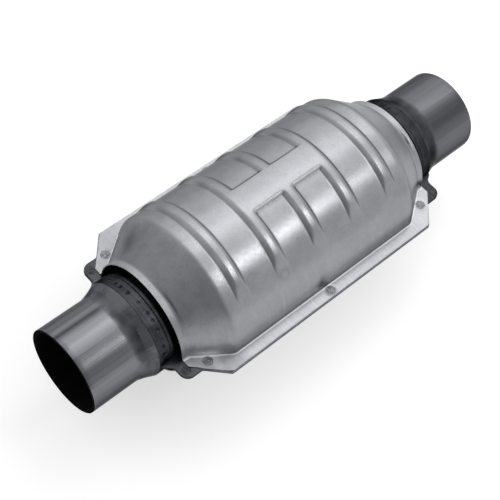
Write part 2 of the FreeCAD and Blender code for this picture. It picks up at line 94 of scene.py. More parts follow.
# Radius of the shield's fold, its growth towards the ends, from which X and over what length
FOLD_R, FOLD_MORE, FOLD_FROM, FOLD_OVER = 1.0, 0.6, 96.0, 14.0

# Points across a section of the shield: the flat of the flange, then the fold
FLANGE_STEPS, FOLD_STEPS = 9, 6

# Columns of a section with a painted highlight, and with painted shade, counted from the edge of
# the flange over the fold
FOLD_HIGHLIGHT = {0: 1.0, 1: 0.35, FLANGE_STEPS - 1: 0.2, FLANGE_STEPS: 2.0, FLANGE_STEPS + 1: 1.8}
FOLD_SHADE = {FLANGE_STEPS + 2: 0.3, FLANGE_STEPS + 3: 0.55, FLANGE_STEPS + 4: 0.55,
             FLANGE_STEPS + 5: 0.3}

# Rim and groove of the body's throat, and the punch marks round the necks
RIM_WIDTH, RIM_SLOPE, GROOVE = 2.4, 1.0, 1.0
DOTS_X, DOT_R, DOT_DEPTH = 122.0, 1.35, 0.6
SEEN_DOTS = ((50.0, 0.5), (63.0, 0.6), (71.0, 1.0), (83.5, 0.95), (99.5, 0.5), (113.0, 0.55),
             (122.5, 0.4), (133.0, 0.6), (143.5, 0.5), (153.5, 0.7))

# Soft upper edge of the seam flange, and how far it runs into the wall
EDGE_ROUND, EDGE_CUT, PLATE_SINK = 0.25, 0.07, 1.5

# Section of a weld bead: past the mouth of the neck, above the spigot
BEAD_SHAPE = ((-0.3, 0.0), (-0.3, 1.2), (0.2, 1.15), (0.8, 0.95), (1.6, 0.66), (2.6, 0.26),
              (3.6, -0.17), (4.6, -0.6), (5.6, -0.97), (6.4, -1.3), (-0.3, -1.3))

# Points round the turned pieces
SHELL_COLUMNS, PIPE_SEGMENTS, BEAD_SEGMENTS, BRICK_SEGMENTS = 301, 192, 360, 96
MARK_SEGMENTS, MARK_RINGS = 40, 12

# Honeycomb: cells, the wall between them, the skin round them and the gap to its outside
CELL_PITCH, CELL_WALL, BRICK_SKIN, CELL_MARGIN = 2.54, 0.36, 1.6, 0.7

# Dark marks of heat above the welds in metres: place along X, sideways and height; reach; depth
SMUDGES = (((-0.004, 0.0578, 0.0105), 0.0085, 0.6), ((-0.097, 0.0462, 0.009), 0.0045, 0.4),
           ((0.098, 0.0455, 0.007), 0.005, 0.3))

# Studio in metres: floor, and the camera with its axes to the right, up and backwards
FLOOR_SIZE, FLOOR_LEVEL = 12.0, -0.0617
CAMERA_PLACE, CAMERA_LENS, CAMERA_SENSOR = (-0.42340, -0.33162, 0.75758), 96.19, 36.0
CAMERA_AXES = ((0.73616, -0.66889, 0.10318), (0.51509, 0.65261, 0.55568),
               (-0.43903, -0.35593, 0.82497))


# Mesh helpers

def add_piece(name, points, faces, materials, stands_for=(), sharp=35.0, face_material=None,
              masks=None):
    """A smooth-shaded piece of the part from points in millimetres.

    The masks hold one number a point for the material: the first darkens it with painted shade and
    stains, the second brightens it with painted highlights and some rubbing.
    """
    mesh = bpy.data.meshes.new(name)
    mesh.from_pydata((np.asarray(points, float) * MM).tolist(), [], faces)
    mesh.validate()
    mesh.update()
    for material in materials:
        mesh.materials.append(material)
    mesh.shade_smooth()
    if face_material is not None:
        mesh.polygons.foreach_set("material_index", face_material)
    mesh.set_sharp_from_angle(angle=math.radians(sharp))
    for label, mask in (masks or {}).items():
        mesh.attributes.new(label, "FLOAT", "POINT").data.foreach_set("value", mask)
    piece = bpy.data.objects.new(name, mesh)
    bpy.context.scene.collection.objects.link(piece)
    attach(piece, "root")
    if stands_for:
        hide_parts(*stands_for)
    return piece


def grid_faces(rows, columns, start=0, flip=False, around=False):
    """Quads of a grid of rows by columns points; around joins the last column to the first."""
    faces = []
    last = columns if around else columns - 1
    for i in range(rows - 1):
        for j in range(last):
            k = (j + 1) % columns
            a, b = start + i * columns + j, start + i * columns + k
            c, d = start + (i + 1) * columns + k, start + (i + 1) * columns + j
            faces.append((a, d, c, b) if flip else (a, b, c, d))
    return faces


def strip_faces(low, high, columns, flip=False, around=False):
    """Quads between two rows of points, whose first points have the numbers low and high."""
    faces = []
    for j in range(columns if around else columns - 1):
        k = (j + 1) % columns
        face = (low + j, low + k, high + k, high + j)
        faces.append(face[::-1] if flip else face)
    return faces


def rounded_line(corners, steps):
    """Points along straight runs; a corner (a, b, radius) is rounded off by an arc."""
    points = []
    for i, corner in enumerate(corners):
        here = np.array(corner[:2], float)
        if len(corner) == 2:
            points.append(here)
            continue
        back = np.array(corners[i - 1][:2], float) - here
        ahead = np.array(corners[i + 1][:2], float) - here
        back /= np.linalg.norm(back)
        ahead /= np.linalg.norm(ahead)
        half = math.acos(np.clip(back @ ahead, -1, 1)) / 2
        middle = back + ahead
        middle /= np.linalg.norm(middle)
        centre = here + middle * corner[2] / math.sin(half)
        first = here + back * corner[2] / math.tan(half) - centre
        last = here + ahead * corner[2] / math.tan(half) - centre
        sweep = math.pi - 2 * half
        side = math.copysign(1, first[0] * last[1] - first[1] * last[0])
        for step in range(steps + 1):
            turn = side * sweep * step / steps
            c, s = math.cos(turn), math.sin(turn)
            points.append(centre + (c * first[0] - s * first[1], s * first[0] + c * first[1]))
    return np.array(points)


def both_ends(half):
    """A line from the middle to the +X end, completed by its mirror image."""
    return np.concatenate([half[::-1] * (-1, 1), half[1:]])


def full_turn(segments):
    return np.arange(segments) * 2 * math.pi / segments


def turned(x, radius, angle):
    """Grid of points: rows of x and radius, turned about the X axis through the angles."""
    points = np.empty(np.broadcast(radius, angle).shape + (3,))
    points[:, :, 0] = x
    points[:, :, 1] = radius * np.cos(angle)
    points[:, :, 2] = radius * np.sin(angle)
    return points


def smooth_clamp(t, softness):
    """0 below 0 and 1 above 1, with both bends rounded."""
    def ramp(u):
        return softness * np.logaddexp(0, u / softness)
    return ramp(t) - ramp(t - 1)


def bell(distance, width):
    return np.exp(-(distance / width) ** 2)


def waves(x, t, seed, scale, count=14):
    """A calm random field from a few sine waves, about -1 to 1."""
    draw = random.Random(seed)
    field = np.zeros(np.broadcast(x, t).shape)
    for _ in range(count):
        direction = draw.uniform(0, 2 * math.pi)
        length = scale * draw.uniform(0.7, 1.6)
        phase = draw.uniform(0, 2 * math.pi)
        k = 2 * math.pi / length
        field += np.sin(k * (math.cos(direction) * x + math.sin(direction) * t) + phase)
    return field / math.sqrt(count)


# Node helpers

class Nodes:
    """Short forms for building a shader tree."""

    def __init__(self, tree):
        self.tree = tree
        tree.nodes.clear()

    def add(self, kind, inputs=None, **settings):
        node = self.tree.nodes.new(kind)
        for key, setting in settings.items():
            setattr(node, key, setting)
        for key, source in (inputs or {}).items():
            self.feed(node.inputs[key], source)
        return node

    def feed(self, socket, source):
        """Link an output to a socket, or set a constant on the socket itself."""
        if isinstance(source, bpy.types.NodeSocket):
            self.tree.links.new(source, socket)
        else:
            socket.default_value = source

    def math(self, operation, a, b=0.0, clamp=False):
        node = self.add("ShaderNodeMath", {0: a, 1: b}, operation=operation, use_clamp=clamp)
        return node.outputs[0]

    def plus(self, a, b):
        return self.math("ADD", a, b)

    def times(self, a, b, clamp=False):
        return self.math("MULTIPLY", a, b, clamp)

    def size(self, a):
        return self.math("ABSOLUTE", a)

    def remap(self, source, low, high, to_low=0.0, to_high=1.0, smooth=True):
        node = self.add("ShaderNodeMapRange", {"Value": source, "From Min": low, "From Max": high,
                                               "To Min": to_low, "To Max": to_high})
        if smooth:
            node.interpolation_type = "SMOOTHSTEP"
        return node.outputs["Result"]

    def mix(self, factor, a, b):
        node = self.add("ShaderNodeMix", data_type="RGBA")
        self.feed(node.inputs[0], factor)
        self.feed(node.inputs[6], a)
        self.feed(node.inputs[7], b)
        return node.outputs[2]


class Surface(Nodes):
    """A new material with its place on the object in metres and its main shader."""

    def __init__(self, name):
        self.material = bpy.data.materials.new(name)
        self.material.use_nodes = True
        super().__init__(self.material.node_tree)
        self.place = self.add("ShaderNodeTexCoord").outputs["Object"]
        self.x, self.y, self.z = self.add("ShaderNodeSeparateXYZ", {0: self.place}).outputs
        self.shader = self.add("ShaderNodeBsdfPrincipled")
        self.add("ShaderNodeOutputMaterial", {"Surface": self.shader.outputs[0]})

    def noise(self, scale, detail, rough, distortion=0.0):
        """Noise with one scale all ways, or with a scale for each of X, Y and Z."""
        place = self.place
        if isinstance(scale, tuple):
            stretch = self.add("ShaderNodeVectorMath", {0: place, 1: scale}, operation="MULTIPLY")
            place, scale = stretch.outputs[0], 1.0
        node = self.add("ShaderNodeTexNoise", {"Vector": place, "Scale": scale, "Detail": detail,
                                               "Roughness": rough, "Distortion": distortion})
        return node.outputs[0]

    def mask(self, label):
        return self.add("ShaderNodeAttribute", attribute_name=label).outputs["Fac"]

    def finish(self, colour, rough, relief, depth, strength, metallic=1.0, edge=None):
        """Feed the shader: relief is a bump of that depth in metres, edge the glancing tint."""
        inputs = self.shader.inputs
        bump = self.add("ShaderNodeBump", {"Height": relief, "Distance": depth,
                                           "Strength": strength})
        self.feed(inputs["Base Color"], colour)
        self.feed(inputs["Metallic"], metallic)
        self.feed(inputs["Roughness"], rough)
        self.feed(inputs["Normal"], bump.outputs[0])
        if edge is not None:
            self.feed(inputs["Specular Tint"], edge)
        return self.material


def grey(level, tint=0.0):
    """A colour at that level; tint above 0 is warmer and below 0 bluer."""
    return (level * (1 + 0.85 * tint), level, level * (1 - 2.9 * tint), 1.0)


# Materials

def shield_metal():
    """Coated sheet: satin, cloudy, rubbed round the body low down, with painted shade in the folds
    and creases and painted highlights on ribs, strip, fold and collars.
    """
    n = Surface("shield_sheet")
    cloud = n.noise(45.0, 4.0, 0.6)
    mottle = n.noise(150.0, 3.0, 0.6)
    speck = n.noise(900.0, 2.0, 0.7)
    rub = n.noise((520.0, 20.0, 20.0), 3.0, 0.6)
    height = n.size(n.z)
    near_cone = n.remap(n.x, -0.09, -0.083, 1.0, 0.0)
    far_cone = n.remap(n.x, 0.083, 0.09)

    # Clouds, with a darker and more mottled near cone, and the far cone lightened as painted light
    colour = n.mix(n.remap(cloud, 0.3, 0.7), grey(0.287, -0.02), grey(0.336, -0.018))
    patch = n.times(n.remap(mottle, 0.4, 0.68), n.plus(0.15, n.times(near_cone, 0.17)))
    colour = n.mix(n.times(near_cone, 0.12), colour, grey(0.19, -0.025))
    colour = n.mix(n.times(far_cone, 0.4), colour, grey(0.42, -0.015))
    colour = n.mix(patch, colour, grey(0.19, -0.025))

    # Specks, fewer on the flange, and rub lines low on the wall
    spots = n.remap(speck, 0.35, 0.65)
    speckled = n.times(spots, n.remap(height, 0.0022, 0.006, 0.06, 0.2))
    colour = n.mix(speckled, colour, grey(0.2, -0.02))
    low = n.remap(height, 0.006, 0.035, 1.0, 0.0)
    lines = n.times(n.remap(rub, 0.45, 0.7), low)
    colour = n.mix(n.plus(n.times(lines, 0.4), n.times(low, 0.2)), colour, grey(0.4, -0.01))

    # Shade in the fold, smudges of heat by the welds, then painted shade and stains, and painted
    # highlights with some rubbing, from the masks
    fold = n.times(n.remap(height, 0.0021, 0.0026), n.remap(height, 0.0026, 0.0048, 1.0, 0.0))
    fold = n.times(fold, n.remap(n.size(n.x), 0.086, 0.095, 1.0, 0.0))
    colour = n.mix(n.times(fold, 0.2), colour, grey(0.08, -0.02))
    smudge = n.times(smudges(n, n.size(n.y), height), n.remap(mottle, 0.3, 0.6, 0.3, 1.0))
    colour = n.mix(smudge, colour, grey(0.07, -0.03))
    shade_and_stain, highlight_and_wear = n.mask("shade_and_stain"), n.mask("highlight_and_wear")
    # The first mask darkens with painted shade and stains; the second lightens with painted
    # highlights, up to near white
    colour = n.mix(n.times(shade_and_stain, 0.7), colour, grey(0.06, -0.03))
    lit_and_worn = n.times(highlight_and_wear, n.remap(mottle, 0.3, 0.6, 0.4, 1.0), clamp=True)
    colour = n.mix(lit_and_worn, colour, grey(0.5, -0.01))
    colour = n.mix(n.remap(highlight_and_wear, 1.0, 2.0), colour, grey(0.9, -0.01))

    # The glancing tint is raised on the far cone as painted light, and lowered under the painted
    # shade of the first mask
    edge = n.mix(shade_and_stain, n.mix(far_cone, grey(0.4), grey(0.65)), grey(0.1))
    rough = n.plus(n.remap(cloud, 0.25, 0.75, 0.26, 0.33), n.times(spots, 0.04))
    rough = n.plus(rough, n.times(highlight_and_wear, 0.2))
    rough = n.plus(rough, n.remap(n.x, -0.084, -0.075, 0.09, 0.0))
    rough = n.plus(rough, n.times(shade_and_stain, 0.15))
    grain = n.plus(n.times(speck, 0.5), n.times(rub, 0.2))
    return n.finish(colour, rough, grain, 0.00002, 0.2, edge=edge)


def smudges(n, across, height):
    """Strength of the dark marks of heat above the welds."""
    total = 0.0
    for middle, reach, depth in SMUDGES:
        place = n.add("ShaderNodeCombineXYZ", {0: n.x, 1: across, 2: height}).outputs[0]
        gap = n.add("ShaderNodeVectorMath", {0: place, 1: middle}, operation="DISTANCE")
        total = n.plus(total, n.remap(gap.outputs["Value"], 0.0, reach, depth, 0.0))
    return total


def body_metal():
    """Dark pressed sheet of the body, with dull scale, and punch marks painted nearly black as
    shade in their dimples.
    """
    n = Surface("body_sheet")
    cloud = n.noise(120.0, 4.0, 0.65)
    grain = n.noise(1400.0, 2.0, 0.6)
    lines = n.noise((900.0, 30.0, 30.0), 3.0, 0.6)
    level = n.remap(cloud, 0.3, 0.7)
    near = n.remap(n.x, -0.03, 0.03, 1.0, 0.0)

    # The inlet's half is lighter, and so are the flange and the ears on both
    colour = n.mix(level, grey(0.021, -0.045), grey(0.038, -0.04))
    colour = n.mix(near, colour, n.mix(level, grey(0.033, -0.045), grey(0.056, -0.04)))
    plate = n.mix(near, n.mix(level, grey(0.03, -0.03), grey(0.055, -0.03)),
                  n.mix(level, grey(0.045, -0.03), grey(0.085, -0.03)))
    plate = n.mix(n.remap(n.size(n.x), 0.1, 0.108, 1.0, 0.0), plate, grey(0.16, -0.03))
    colour = n.mix(n.remap(n.size(n.y), 0.0375, 0.041), colour, plate)
    colour = n.mix(n.times(n.remap(lines, 0.45, 0.7), 0.35), colour, grey(0.09, -0.05))
    # The dimples of the punch marks are painted nearly black: painted shade in the recesses
    dimple_shade = n.remap(n.mask("shade_and_stain"), 0.15, 0.8, 0.0, 0.65)
    colour = n.mix(dimple_shade, colour, grey(0.008, -0.05))
    rough = n.remap(cloud, 0.25, 0.75, 0.3, 0.44)
    return n.finish(colour, rough, n.plus(grain, lines), 0.00004, 0.5, edge=grey(0.3))


def pipe_metal():
    """Drawn tube: streaks along its length, dark blotches of heat on the flare, bands of painted
    shade and painted highlight, and an end face painted black as soot and shade.
    """
    n = Surface("pipe_tube")
    wide = n.noise((2.0, 75.0, 75.0), 2.0, 0.5)
    streak = n.noise((5.0, 290.0, 290.0), 4.0, 0.65)
    fine = n.noise((14.0, 1100.0, 1100.0), 2.0, 0.6)
    cloud = n.noise((55.0, 70.0, 70.0), 2.0, 0.5)
    scale = n.noise((200.0, 120.0, 120.0), 3.0, 0.65)
    along = n.size(n.x)
    ragged = n.plus(along, n.times(n.math("SUBTRACT", scale, 0.5), 0.004))

    # Drawing marks, weaker on the outlet's pipe
    drawn = n.remap(n.x, -0.05, 0.05, 1.0, 0.5)
    bright = n.times(n.remap(streak, 0.48, 0.72, 0.0, 0.32), drawn)
    dull = n.times(n.remap(fine, 0.5, 0.72, 0.0, 0.5), drawn)
    colour = n.mix(n.remap(wide, 0.3, 0.7), grey(0.16, -0.03), grey(0.205, -0.028))
    colour = n.mix(bright, colour, grey(0.27, -0.02))
    colour = n.mix(dull, colour, grey(0.08, -0.03))

    # Heat on the flare, with patches of scale by the bead
    heat = n.remap(ragged, 0.1375, 0.142, 1.0, 0.0)
    patch = n.times(n.remap(ragged, 0.1285, 0.1315, 1.0, 0.0), n.remap(scale, 0.46, 0.62))
    flare = n.mix(n.remap(cloud, 0.35, 0.65), grey(0.08, -0.045), grey(0.165, -0.035))
    flare = n.mix(n.times(patch, 0.7), flare, grey(0.15, -0.02))
    colour = n.mix(heat, colour, flare)

    # The second mask paints highlight bands, the first paints shade bands and heat blotches
    highlight_and_wear = n.mask("highlight_and_wear")
    colour = n.mix(highlight_and_wear, colour, grey(0.32, -0.025))
    colour = n.mix(n.mask("shade_and_stain"), colour, grey(0.03, -0.04))
    # The end face is painted nearly black, as soot and as shade
    colour = n.mix(n.remap(along, 0.17715, 0.17735, smooth=False), colour, grey(0.004))
    rough = n.plus(n.remap(streak, 0.3, 0.7, 0.18, 0.25), n.times(heat, 0.07))
    rough = n.plus(rough, n.times(highlight_and_wear, 0.5))
    return n.finish(colour, rough, n.plus(fine, streak), 0.00002, 0.2, edge=grey(0.35))


def soot_and_shade_metal():
    """The inside of the pipes and cones: black and dull, as soot and as painted shade inside the
    tubes.
    """
    n = Surface("inner_wall")
    streak = n.noise((8.0, 160.0, 160.0), 3.0, 0.6)
    colour = n.mix(n.remap(streak, 0.3, 0.7), grey(0.0015), grey(0.004, 0.02))
    n.feed(n.shader.inputs["Specular IOR Level"], 0.06)
    rough = n.remap(streak, 0.3, 0.7, 0.55, 0.7)
    return n.finish(colour, rough, streak, 0.00005, 0.4, metallic=0.0)


def weld_metal(name, low, high):
    """Melted and set metal: fine ripple, with scattered duller spots."""
    n = Surface(name)
    ripple = n.noise(700.0, 3.0, 0.6, 0.6)
    dull = n.noise(2200.0, 2.0, 0.6)
    colour = n.mix(n.remap(ripple, 0.35, 0.65), grey(low, -0.03), grey(high, -0.02))
    rough = n.remap(dull, 0.3, 0.7, 0.35, 0.55)
    return n.finish(colour, rough, ripple, 0.0001, 0.6, metallic=0.85)


def ceramic():
    """Coated ceramic of the honeycombs: pale brown and matt."""
    n = Surface("coated_ceramic")
    grain = n.noise(1500.0, 3.0, 0.7)
    cloud = n.noise(60.0, 3.0, 0.6)
    colour = n.mix(n.remap(cloud, 0.3, 0.7), (0.2, 0.16, 0.11, 1), (0.3, 0.25, 0.18, 1))
    colour = n.mix(n.times(grain, 0.25), colour, (0.1, 0.08, 0.06, 1))
    return n.finish(colour, 0.9, grain, 0.00015, 0.7, metallic=0.0)


def fibre(name, low, high, metallic):
    """Pressed fibre or knitted wire of the mats and seals."""
    n = Surface(name)
    strand = n.noise((300.0, 1200.0, 1200.0), 4.0, 0.7, 1.2)
    colour = n.mix(n.remap(strand, 0.3, 0.7), grey(low, 0.06), grey(high, 0.06))
    return n.finish(colour, 0.85, strand, 0.0004, 0.8, metallic=metallic)


SHIELD = shield_metal()
BODY = body_metal()
PIPE = pipe_metal()
INSIDE = soot_and_shade_metal()
SPOT = weld_metal("spot_weld", 0.13, 0.27)
EAR_SPOT = weld_metal("ear_spot", 0.025, 0.07)
CERAMIC = ceramic()
MAT = fibre("mat_fibre", 0.45, 0.6, 0.0)
MESH = fibre("seal_mesh", 0.25, 0.45, 0.8)


# Form of the heat shield

def shield_radius(x):
    line = rounded_line([
        (0, SHIELD_R), (SHIELD_X, SHIELD_R, SHOULDER_ROUND),
        (COLLAR_START_X, COLLAR_START_R, COLLAR_ROUND), (COLLAR_X + PAST_END, COLLAR_R),
    ], 16)
    return np.interp(np.abs(x), line[:, 0], line[:, 1])


def flange_half_width(x):
    line = rounded_line([
        (0, FLANGE_Y), (FLANGE_CORNER_X, FLANGE_Y, FLANGE_CORNER_ROUND),
        (COLLAR_X + PAST_END, FLANGE_TIP_Y - FLANGE_TIP_SLOPE * PAST_END),
    ], 8)
    return np.interp(np.abs(x), line[:, 0], line[:, 1])


def rib_offset(x):
    """Distance along X from the middle of the nearest rib, below 0 on the inlet's side."""
    offset = (x + RIB_PITCH / 2) % RIB_PITCH - RIB_PITCH / 2
    return np.where(np.abs(x) > 2.5 * RIB_PITCH, RIB_PITCH / 2, offset)


def rib_end(theta):
    return np.where(theta < TOP, RIB_END_FAR, RIB_END)


def pressed_height(x, theta):
    """Height of ribs and strip above the plain wall."""
    from_top = np.abs(theta - TOP)
    end = rib_end(theta)

    # A rib follows the lower of its own rounded top and a flat roof that meets the wall at its end
    roof = (SHIELD_R - RIB_SINK) / np.cos(np.radians(np.clip(end - from_top, 0, 80))) - SHIELD_R
    roof = np.where(from_top > end, -RIB_SINK, roof)
    rise = smooth_clamp((RIB_ROOT - np.abs(rib_offset(x))) / (RIB_ROOT - RIB_CREST), 0.04)
    flank = rise * (2 - rise)
    bend, foot = 0.3, 0.12
    rib = -bend * np.logaddexp(-RIB_HEIGHT * flank / bend, -roof / bend)
    rib = foot * np.logaddexp(0, (rib - 0.02) / foot) * (from_top < end + 8)

    # The strip has a steep flank on the far side and a wider one on the near side
    low = smooth_clamp((theta - STRIP_LOW) * STRIP_ARC / 1.4 + 0.5, 0.1)
    high = smooth_clamp((STRIP_HIGH - theta) * STRIP_ARC / 2.6 + 0.5, 0.16)
    ends = smooth_clamp((RIB_PITCH + 1.0 - np.abs(x)) / 1.2, 0.12)
    strip = np.clip(low, 0, 1) * np.clip(high, 0, 1) * np.clip(ends, 0, 1)
    return RIB_HEIGHT * (1 - (1 - np.clip(rib / RIB_HEIGHT, 0, 1)) * (1 - strip))


def crease(x, theta):
    """The short press marks where the cones run into the collars."""
    near = bell(x + 107.0 - 0.02 * (theta - 122), 0.8) * bell(theta - 120, 13.0)
    far = bell(x - 110.2, 0.8) * bell(theta - 120, 11.0)
    return near + far


def shield_section(x, shares, inset):
    """Points (y, z) across the shield at x: flange, fold, dome, fold, flange.

    The shares run over the dome from 0 to 1. Inset 0 is the outside of the sheet, 1 the inside.
    """
    top = SHELL_SHEET + SHIELD_SHEET * (1 - inset)
    wall = float(shield_radius(x)) - SHIELD_SHEET * inset
    fold = FOLD_R + FOLD_MORE * float(smooth_clamp((abs(x) - FOLD_FROM) / FOLD_OVER, 0.1))
    fold += SHIELD_SHEET * inset
    centre_z = top + fold
    centre_y = math.sqrt((wall + fold) ** 2 - centre_z ** 2)
    join = math.atan2(centre_z, centre_y)
    outer = float(flange_half_width(x))
    side = []
    for share in np.linspace(0, 1, FLANGE_STEPS + 1)[:-1]:
        side.append((outer + (centre_y - outer) * share, top))
    for share in np.linspace(0, 1, FOLD_STEPS + 1)[:-1]:
        turn = -math.pi / 2 - share * (math.pi / 2 - join)
        side.append((centre_y + fold * math.cos(turn), centre_z + fold * math.sin(turn)))
    start = math.degrees(join)
    theta = start + (180 - 2 * start) * shares
    angle = np.radians(theta)
    uneven = 0.05 * waves(x, theta * 1.04, seed=5, scale=34.0)
    dent = uneven * np.sin(angle) - 0.6 * crease(x, theta)
    radius = wall + pressed_height(np.full(theta.shape, x), theta) + dent
    dome = np.stack([radius * np.cos(angle), radius * np.sin(angle)], 1)
    side = np.array(side)
    return np.concatenate([side, dome, side[::-1] * (-1, 1)])


def shield_stations():
    """Rows along X: close together on the flanks of the ribs and at the bends."""
    rows = set()
    for middle in (-2, -1, 0, 1, 2):
        for side in (-1, 1):
            for offset in np.arange(0.8, 6.9, 0.36):
                rows.add(round(middle * RIB_PITCH + side * float(offset), 3))
        rows.add(middle * RIB_PITCH)
    for gap in (-1.5, -0.5, 0.5, 1.5):
        rows.update(gap * RIB_PITCH + step for step in np.linspace(-9.8, 9.8, 13).round(3))
    for side in (-1, 1):
        for first, last, count in ((75.2, 90.2, 22), (91.2, 102.2, 12), (103.0, 113.0, 19)):
            rows.update((side * np.linspace(first, last, count)).round(3).tolist())
        rows.add(side * COLLAR_X)
    return np.array(sorted(rows))


def dome_shares():
    """Places round the dome from 0 to 1, closer together at the edges of the strip."""
    places = set(np.linspace(0, 180, 166).round(3).tolist())
    places.update((STRIP_LOW + np.linspace(-1.3, 1.3, 15)).round(3).tolist())
    places.update((STRIP_HIGH + np.linspace(-2.2, 2.2, 19)).round(3).tolist())
    return np.array(sorted(places)) / 180


# Painted shade, painted highlights, stains and rubbing on the heat shield

def rib_fade(theta, margin):
    """1 along the ribs, falling to 0 from that many degrees before their ends."""
    return smooth_clamp((rib_end(theta) - margin - np.abs(theta - TOP)) / 10, 0.1)


def in_pocket(x):
    """True between the three middle ribs, where the strip's sides show."""
    return (np.abs(x) < RIB_PITCH) & (np.abs(rib_offset(x)) > RIB_ROOT - 1.2)


def off_strip(x, theta):
    return 1 - (np.abs(x) < RIB_PITCH + 1) * (theta > STRIP_LOW - 0.6) * (theta < STRIP_HIGH + 0.6)


def shade_and_stain_lines(x, theta):
    """0 to 1 of darkening: painted shade by the foot of each rib, along the edges of the strip, at
    the rib ends by the outline, in the creases, on the far collar and low on both cones, where the
    near patch also stands for heat staining; and the ghost of a press pin.
    """
    offset = rib_offset(x)
    # Painted shade by the foot of each rib and along the edges of the strip
    steep = 0.35 * smooth_clamp((theta - 98) / 8, 0.1)
    soft = 0.1 + 0.3 * smooth_clamp((theta - 62) / 25, 0.1)
    foot_shade = soft * bell(offset - RIB_ROOT + 0.3, 0.9) + steep * bell(offset + RIB_ROOT - 0.6, 0.6)
    far_side, near_side = (theta - STRIP_LOW) * STRIP_ARC, (STRIP_HIGH - theta) * STRIP_ARC
    strip_edge_shade = 0.9 * bell(far_side + 0.9, 0.6) + 0.3 * bell(near_side - 1.6, 0.35)
    strip_edge_shade = strip_edge_shade + 0.45 * bell(near_side + 1.4, 0.4)
    lines = foot_shade * rib_fade(theta, 8) * off_strip(x, theta) + strip_edge_shade * in_pocket(x)
    # Painted shade on the far collar, at the rib ends by the outline and low on both cones; on the
    # near cone also heat staining. The pin ghost is a real mark.
    far_collar_shade = 0.2 * smooth_clamp((x - 108.4) / 0.8, 0.1) * smooth_clamp((theta - 95) / 20, 0.1)
    rib_end_shade = 0.95 * bell(offset + 3.2, 2.4) * bell(theta - 29, 11)
    cone_shade_and_stain = 0.65 * bell(x + 98, 10) * (x < -86) + 0.3 * bell(x - 96, 9) * (x > 86)
    cone_shade_and_stain = cone_shade_and_stain * bell(theta - 48, 9)
    pin = 0.22 * bell(np.hypot(x + 33.6, (theta - 143.8) * STRIP_ARC) - 3.4, 0.9)
    # The creases are darkened as painted shade
    return np.clip(lines + pin + rib_end_shade + cone_shade_and_stain + far_collar_shade + 1.2 * crease(x, theta), 0, 1)


def highlight_and_wear_lines(x, theta):
    """0 to 2 of painted highlight and painted light: by the foot of each rib, on the flanks, along
    the strip's edge and on the collars.
    """
    offset = rib_offset(x)
    # Painted highlight by the foot of each rib and along the strip's edge, painted light on the
    # flanks, painted highlights on the collars
    foot_highlight = bell(offset + RIB_ROOT + 0.4, 0.5) * bell(theta - 118, 13) * off_strip(x, theta)
    strip_edge_highlight = bell((STRIP_HIGH - theta) * STRIP_ARC - 0.6, 0.7) * in_pocket(x)
    flank = bell(theta - 88, 11) + 1.4 * bell(theta - 113, 9)
    flank = flank * bell(offset + 3.8, 1.7) * off_strip(x, theta)
    collar_highlight = smooth_clamp((np.abs(x) - 108.4) / 0.8, 0.1) * smooth_clamp((132 - theta) / 14, 0.2)
    collar_highlight = collar_highlight * np.where(x < 0, 0.5, 0.15)
    return np.clip(1.6 * foot_highlight + 0.5 * strip_edge_highlight + collar_highlight + 0.45 * flank, 0, 2)


def shield_masks(points):
    """Painted shade with stains, and painted highlights with some burnishing, over the outside of
    a shield, one number for each point of the grid.
    """
    x, y, height = points[:, :, 0], points[:, :, 1], points[:, :, 2]
    theta = np.degrees(np.arctan2(height, y))
    domed = height > 6
    shade_and_stain = shade_and_stain_lines(x, theta) * domed
    highlight_and_wear = highlight_and_wear_lines(x, theta) * domed
    reach = np.abs(x[:, 0])
    middle = reach < 94
    ends = 0.6 * (reach >= 94) * (reach < 112)
    # Painted highlights along the flange's edge and the start of the fold, painted shade just
    # above the fold, stronger towards the ends on the +Y side
    for column, strength in FOLD_HIGHLIGHT.items():
        highlight_and_wear[:, [column, -1 - column]] = strength
    for column, strength in FOLD_SHADE.items():
        shade_and_stain[:, [column, -1 - column]] = strength * middle[:, None]
        shade_and_stain[:, column] += strength * ends
    # A painted highlight along the edge at the inlet's end
    highlight_and_wear[0, :] = np.maximum(highlight_and_wear[0, :], 0.8)
    # A lighter band low on the -Y side of the near end: painted light that also stands for
    # burnishing
    burnish_and_light = 1.8 * bell(height - 4.0, 3.6) * bell(x + 98, 11) * (y < 0)
    return shade_and_stain, np.maximum(highlight_and_wear, burnish_and_light)


def flange_dents(points):
    """Press the dents of the welds into the flat of the flange."""
    flat = points[:, :, 2] < FLANGE_TOP + 0.02
    for x, y in WELD_PLACES:
        distance = np.hypot(points[:, :, 0] - x, points[:, :, 1] - y)
        dent = 0.24 * (1 - smooth_clamp((distance - 3.4) / 1.6, 0.15))
        points[:, :, 2] -= dent * flat


def at_stations(rows, sections):
    """Grid of points from one section of (y, z) for each place along X."""
    sections = np.array(sections)
    points = np.empty(sections.shape[:2] + (3,))
    points[:, :, 0] = rows[:, None]
    points[:, :, 1:] = sections
    return points


def sheet_edges(rows, columns, inner_rows, inner_columns, upward):
    """Faces that close the four edges between the fine outside and the coarser inside."""
    faces = []
    start, wide = rows * columns, len(inner_columns)
    for end, inner_end in ((0, 0), (rows - 1, len(inner_rows) - 1)):
        for k in range(wide - 1):
            run = range(inner_columns[k], inner_columns[k + 1] + 1)
            low = start + inner_end * wide + k
            ring = [end * columns + j for j in run] + [low + 1, low]
            faces.append(ring if (end == 0) == upward else ring[::-1])
    for edge, inner_edge in ((0, 0), (columns - 1, wide - 1)):
        for k in range(len(inner_rows) - 1):
            run = range(inner_rows[k], inner_rows[k + 1] + 1)
            low = start + k * wide + inner_edge
            ring = [i * columns + edge for i in run] + [low + wide, low]
            faces.append(ring if (edge == 0) != upward else ring[::-1])
    return faces


